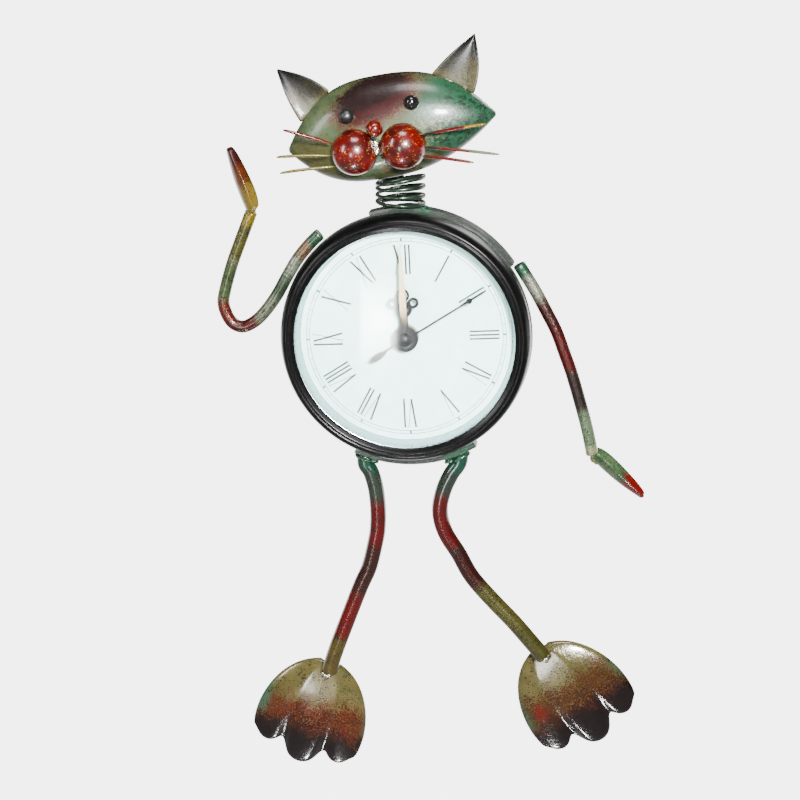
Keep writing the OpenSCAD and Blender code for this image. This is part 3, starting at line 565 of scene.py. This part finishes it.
muzzle = node_centre("muzzle_weld")
muzzle_beads = lumps("muzzle_weld_beads", [
    (muzzle + Vector((-0.6, -0.4, 1.6)), (2.7, 2.2, 1.7), (0, 30, 0)),
    (muzzle + Vector((0.2, 0, -1.6)), (2.2, 2.2, 2.5), (0, -20, 0)),
    (muzzle + Vector((-1.6, -0.2, 0.4)), (1.6, 1.9, 1.9), (0, 0, 0))],
    bead_metal, "head", 0.3)
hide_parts("muzzle_weld")
pale_weld = patina("ear_weld_pale", ((176, 178, 150), (146, 152, 124)), [], sheen=0.6, relief=0.6)
lumps("ear_weld_beads", [
    (head_place(-36.5, 13.6, 14.6), (2.2, 1.0, 1.3), (0, -40, 0)),
    (head_place(-30.5, 17.2, 14.8), (2.8, 1.1, 1.2), (0, -30, 0)),
    (head_place(36.6, 13.8, 14.6), (2.3, 1.1, 1.3), (0, 34, 0)),
    (head_place(29.5, 18, 14.8), (3.0, 1.0, 1.2), (0, 20, 0))],
    pale_weld, "head")

# ---- Limbs

for node, paintwork, slot_name in (
        ("arm_left", arm_left_paint, "arm_paint"), ("arm_right", arm_right_paint, "arm_paint"),
        ("paw_left", paw_left_paint, "red_paint"), ("paw_right", paw_right_paint, "green_paint"),
        ("leg_left", leg_left_paint, "red_paint"), ("leg_right", leg_right_paint, "green_paint"),
        ("foot_left", foot_left_paint, "red_paint"), ("foot_right", foot_right_paint, "red_paint")):
    refined(node, node + "_painted", paintwork, "case")

# ---- Neck spring: two swept halves, sheared more and more up the coil towards the head's tilt

SPRING_X, SPRING_DEPTH, SPRING_R, WIRE = -3.2, 14.5, 10.5, 1.0
FOOT_Z, RISE, CLIMB_TURNS, FLAT_TURNS = DIAL.z + 60.31, 11.0, 3, 0.6
MIDDLE_Z = FOOT_Z + RISE / 2


def coil_half(name, start, turns_flat_first, start_z):
    """Half of the coil as a swept wire: a level part and a rising part, in the given order."""
    mesh = bmesh.new()
    seat = Vector((SPRING_X, -SPRING_DEPTH, start_z)) * MM
    out = Vector((math.cos(math.radians(start)), -math.sin(math.radians(start)), 0))
    turn = Matrix.Rotation(math.radians(-start), 4, "Z") @ Matrix.Rotation(math.radians(90), 4, "X")
    bmesh.ops.create_circle(mesh, segments=12, radius=WIRE * MM, cap_ends=True,
                            matrix=Matrix.Translation(seat + out * SPRING_R * MM) @ turn)
    geometry = mesh.verts[:] + mesh.edges[:] + mesh.faces[:]
    level = (FLAT_TURNS, 0.0)
    rising = (CLIMB_TURNS / 2, RISE / 2)
    for turns, rise in ((level, rising) if turns_flat_first else (rising, level)):
        steps = int(turns * 36)
        swept = bmesh.ops.spin(mesh, geom=geometry, cent=seat, axis=(0, 0, 1), dvec=(0, 0, rise * MM / steps),
                               angle=-math.tau * turns, steps=steps, use_merge=False, use_duplicate=False)
        geometry = swept["geom_last"]
    for vert in mesh.verts:
        share = min(1, max(0, (vert.co.z / MM - FOOT_Z) / RISE))
        vert.co.z += share * (vert.co.x - SPRING_X * MM) * math.tan(HEAD_TILT)
    bmesh.ops.recalc_face_normals(mesh, faces=mesh.faces)
    return piece(name, mesh, spring_paint, None)


lower = coil_half("neck_coil_lower", 200, True, FOOT_Z)
upper = coil_half("neck_coil_upper", 200 + 360 * (FLAT_TURNS + CLIMB_TURNS / 2), False, MIDDLE_Z)
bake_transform(lower)
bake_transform(upper)
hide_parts("neck_spring")
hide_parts("neck_spring")

# ---- Welds on the case

lumps("neck_weld_bead", [
    (dial_place(2.0, 59.3, 14), (6.5, 2.6, 1.3), (0, 2, 0)),
    (dial_place(7.0, 58.9, 15), (3.2, 2.2, 1.0), (0, 6, 0)),
    (dial_place(-8, 59.0, 16), (2.6, 1.8, 0.9), (0, -8, 0))], weld_paint, "case")
lumps("leg_weld_beads", [
    (dial_place(-19.6, -59.6, 14.5), (4.9, 4.6, 1.5), (0, 18, 0)),
    (dial_place(-15.5, -60.4, 16), (2.4, 2.2, 1.2), (0, 14, 0)),
    (dial_place(24.4, -57.7, 14.5), (5.2, 4.6, 1.6), (0, -24, 0)),
    (dial_place(19.8, -59.4, 16), (2.6, 2.4, 1.3), (0, -20, 0))], weld_paint, "case", 0.22)
lumps("foot_weld_beads", [
    (dial_place(-38.8, -168.6, 14.6), (2.6, 1.6, 1.5), (0, 20, 0)),
    (dial_place(65.6, -156.2, 14.8), (2.2, 1.6, 1.7), (0, 30, 0)),
    (dial_place(62.2, -152.2, 16.6), (1.3, 1.0, 1.0), (0, 0, 0))], bead_metal, "case", 0.3)
olive_weld = patina("wrist_weld_olive", ((150, 140, 74), (120, 116, 66)), [], sheen=0.4, relief=0.7)
lumps("wrist_weld_beads", [
    (dial_place(-71.6, 55.6, 14.5), (2.6, 3.4, 2.2), (0, -30, 0)),
    (dial_place(87.2, -56.8, 14.5), (3.0, 3.2, 2.4), (0, 40, 0))],
    olive_weld, "case")

# ---- Clock insert

bezel_rim = turned("bezel_moulding", [
    (50.2, 29.6), (51.8, 29.5), (51.8, 21.0), (55.6, 19.2), (56.7, 19.2), (57.05, 20.4), (57.2, 22.2),
    (57.15, 24.2), (56.95, 26.0), (56.5, 27.8), (55.85, 29.2), (55.0, 30.3), (54.2, 30.85), (53.7, 30.95),
    (53.35, 30.7), (53.15, 30.55), (52.95, 30.75), (52.7, 31.15), (52.3, 31.2), (51.9, 31.0), (51.4, 30.65),
    (50.8, 30.3), (50.35, 30.0)], bezel_gloss, "insert")
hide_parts("bezel")

reflector_cone = turned("reflector_cone", [
    (48.4, 21.06), (48.75, 21.5), (49.0, 22.4), (49.35, 24.4), (49.7, 26.4), (50.0, 27.6), (50.4, 28.0),
    (51.7, 28.0), (51.7, 27.4), (50.7, 27.3), (49.3, 21.06)], reflector, "insert")
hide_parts("reflector_ring")

GLASS_R, GLASS_RIM, GLASS_SEAT, GLASS_EDGE, GLASS_RISE = 51.7, 50.1, 28.05, 29.45, 5.4
DOME_R = (GLASS_RIM ** 2 + GLASS_RISE ** 2) / (2 * GLASS_RISE)


def dome(r):
    """How far the glass stands out at a radius."""
    return math.sqrt(DOME_R ** 2 - r ** 2) - DOME_R + GLASS_RISE


radii = [GLASS_RIM * k / 24 for k in range(25)]
glass_dome = turned("lens_dome", [(GLASS_R, GLASS_SEAT), (GLASS_R, GLASS_EDGE)]
                    + [(r, GLASS_EDGE + dome(r)) for r in reversed(radii)]
                    + [(r, GLASS_SEAT + dome(r)) for r in radii], lens_glass, "insert")
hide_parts("lens")

PRINT_DEPTH, PRINT_T = 21.06, 0.04


def printed(mesh, angle, x, r, width, height, lean=0.0):
    """One printed bar: x across and r outwards at an angle clockwise from the top. Its height is outwards."""
    made = bmesh.ops.create_cube(mesh, size=1.0)["verts"]
    local = (Matrix.Rotation(math.radians(angle - DIAL_TURN), 4, "Y") @ Matrix.Translation((x, 0, r))
             @ Matrix.Rotation(math.radians(lean), 4, "Y") @ Matrix.Diagonal((width, PRINT_T, height, 1)))
    place = Matrix.Scale(MM, 4) @ Matrix.Translation((0, -PRINT_DEPTH, DIAL.z)) @ local
    bmesh.ops.transform(mesh, matrix=place, verts=made)


FEET, TOP = 29.2, 42.5
ADVANCE = {"I": 1.75, "V": 5.0, "X": 5.0}
THICK, THIN, SERIF = 0.8, 0.26, 0.16


def letter(mesh, angle, kind, x):
    tall, middle = TOP - FEET, (TOP + FEET) / 2
    if kind == "I":
        printed(mesh, angle, x, middle, THICK, tall)
        for end in (FEET, TOP):
            printed(mesh, angle, x, end, 1.45, SERIF)
        return
    spread = 1.65 if kind == "X" else 0.85
    lean = math.degrees(math.atan2(2 * spread, tall))
    shift = 0 if kind == "X" else spread
    long = math.hypot(tall, 2 * spread)
    printed(mesh, angle, x - shift, middle, THICK, long, -lean)
    printed(mesh, angle, x + shift, middle, THIN, long, lean)
    wide = spread if kind == "X" else 2 * spread
    for side in (-1, 1):
        printed(mesh, angle, x + side * wide, TOP, 1.6, SERIF)
        if kind == "X":
            printed(mesh, angle, x + side * wide, FEET, 1.6, SERIF)


numerals = bmesh.new()
for hour, text in enumerate(["XII", "I", "II", "III", "IV", "V", "VI", "VII", "VIII", "IX", "X", "XI"]):
    x = -sum(ADVANCE[c] for c in text) / 2
    for c in text:
        letter(numerals, 30 * hour, c, x + ADVANCE[c] / 2)
        x += ADVANCE[c]
piece("dial_numerals", numerals, dial_print, "insert", smooth=False)

track = bmesh.new()
for minute in range(60):
    if minute % 5:
        printed(track, 6 * minute, 0, 45.0, 0.16, 1.4)
    else:
        printed(track, 6 * minute, 0, 45.1, 0.75, 1.5)
piece("minute_marks", track, dial_print, "insert", smooth=False)
for name, r in (("minute_ring_inner", 44.25), ("minute_ring_outer", 45.75)):
    turned(name, [(r - 0.11, 21.0), (r - 0.11, 21.08), (r + 0.11, 21.08), (r + 0.11, 21.0)],
           dial_print, "insert")

# ---- Finishes on the CAD pieces that stay

FINISHES = {
    "case_drum": case_paint, "hanger_strap": case_paint, "neck_strip": strip_paint, "leg_strip": strip_paint,
    "eyes": eye_gloss, "nose": cheek_paint, "cheek_left": cheek_paint, "cheek_right": cheek_paint,
    "dial": dial_white, "insert_cup": grey_plastic, "gasket_ring": rubber,
    "dial_washer": steel, "mounting_nut": brass,
    "hour_hand": hand_metal, "minute_hand": minute_hand_reflection, "second_hand": hand_metal,
    "movement_case": black_plastic, "movement_cover": black_plastic, "middle_plate": ivory,
    "circuit_board": board, "quartz_crystal": steel, "coil": copper, "stator": steel, "rotor": ivory,
    "intermediate_wheel": ivory, "second_wheel": ivory, "third_wheel": ivory, "centre_wheel": ivory,
    "minute_wheel": ivory, "hour_wheel": brass, "setting_knob": ivory, "battery": wrap,
    "contact_positive": steel, "contact_negative": steel,
}
for node, material in FINISHES.items():
    nodes[node].data.materials.clear()
    nodes[node].data.materials.append(material)

# ---- Stage, light and camera

FLOOR_DROP, FLOOR_HALF = 1.2, 20.0
floor_mesh = bmesh.new()
bmesh.ops.create_grid(floor_mesh, x_segments=1, y_segments=1, size=FLOOR_HALF,
                      matrix=Matrix.Translation((0, 0, cad_low.z - FLOOR_DROP)))
floor_data = bpy.data.meshes.new("floor")
floor_mesh.to_mesh(floor_data)
floor_mesh.free()
floor = bpy.data.objects.new("floor", floor_data)
bpy.context.scene.collection.objects.link(floor)
floor_finish = Finish("floor_pale")
pale = floor_finish.mix(floor_finish.cloud(400), paint(222, 222, 222), paint(226, 226, 226))
glow = floor_finish.mix(floor_finish.y.step(1500, 2300), (0.1, 0.1, 0.1, 1), (1, 1, 1, 1))
floor_finish.set(Base_Color=pale, Roughness=0.9, Specular_IOR_Level=0.1, Emission_Color=glow,
                 Emission_Strength=5.0)
floor_data.materials.append(floor_finish.material)


def aimed(location, target):
    return (Vector(target) - Vector(location)).to_track_quat("-Z", "Y")


def softbox(name, location, size, power, spread):
    """A rectangular light aimed at the dial; its size is in metres, its spread in degrees."""
    data = bpy.data.lights.new(name, "AREA")
    data.shape = "RECTANGLE"
    data.size, data.size_y = size
    data.energy = power
    data.spread = math.radians(spread)
    made = bpy.data.objects.new(name, data)
    made.location = location
    made.rotation_mode = "QUATERNION"
    made.rotation_quaternion = aimed(location, DIAL * MM)
    bpy.context.scene.collection.objects.link(made)


softbox("key_light", (0.36, -1.15, 0.42), (0.16, 0.16), 14, 60)
softbox("low_window", (-0.26, -1.2, -0.2), (0.2, 0.6), 0.4, 24)
softbox("left_light", (-1.0, -0.7, 0.4), (0.2, 0.6), 3, 80)
softbox("top_light", (0.0, -0.5, 1.3), (0.6, 0.4), 3, 60)
softbox("low_light", (-0.05, -0.5, -1.1), (0.1, 0.1), 1.5, 60)
softbox("rear_light", (0.7, 1.3, 0.9), (0.8, 0.8), 6, 90)

world = bpy.data.worlds.new("studio")
world.use_nodes = True
world.node_tree.nodes["Background"].inputs[0].default_value = (1, 1, 1, 1)
world.node_tree.nodes["Background"].inputs[1].default_value = 0.16
bpy.context.scene.world = world

AZIMUTH, ELEVATION = math.radians(6), math.radians(15)
DISTANCE, LEFT_OF_DIAL, BELOW_DIAL = 1000, 2.73, 28.7
back = Vector((math.sin(AZIMUTH) * math.cos(ELEVATION), -math.cos(AZIMUTH) * math.cos(ELEVATION),
               math.sin(ELEVATION)))
right = Vector((math.cos(AZIMUTH), math.sin(AZIMUTH), 0))
up = right.cross(back) * -1
camera_data = bpy.data.cameras.new("camera")
camera_data.lens = 98.9
camera_data.sensor_width = 36
camera = bpy.data.objects.new("camera", camera_data)
camera.rotation_mode = "QUATERNION"
camera.rotation_quaternion = (-back).to_track_quat("-Z", "Y")
camera.location = (DIAL + back * DISTANCE - right * LEFT_OF_DIAL - up * BELOW_DIAL) * MM
camera_data.clip_start, camera_data.clip_end = 0.05, 30
bpy.context.scene.collection.objects.link(camera)
bpy.context.scene.camera = camera
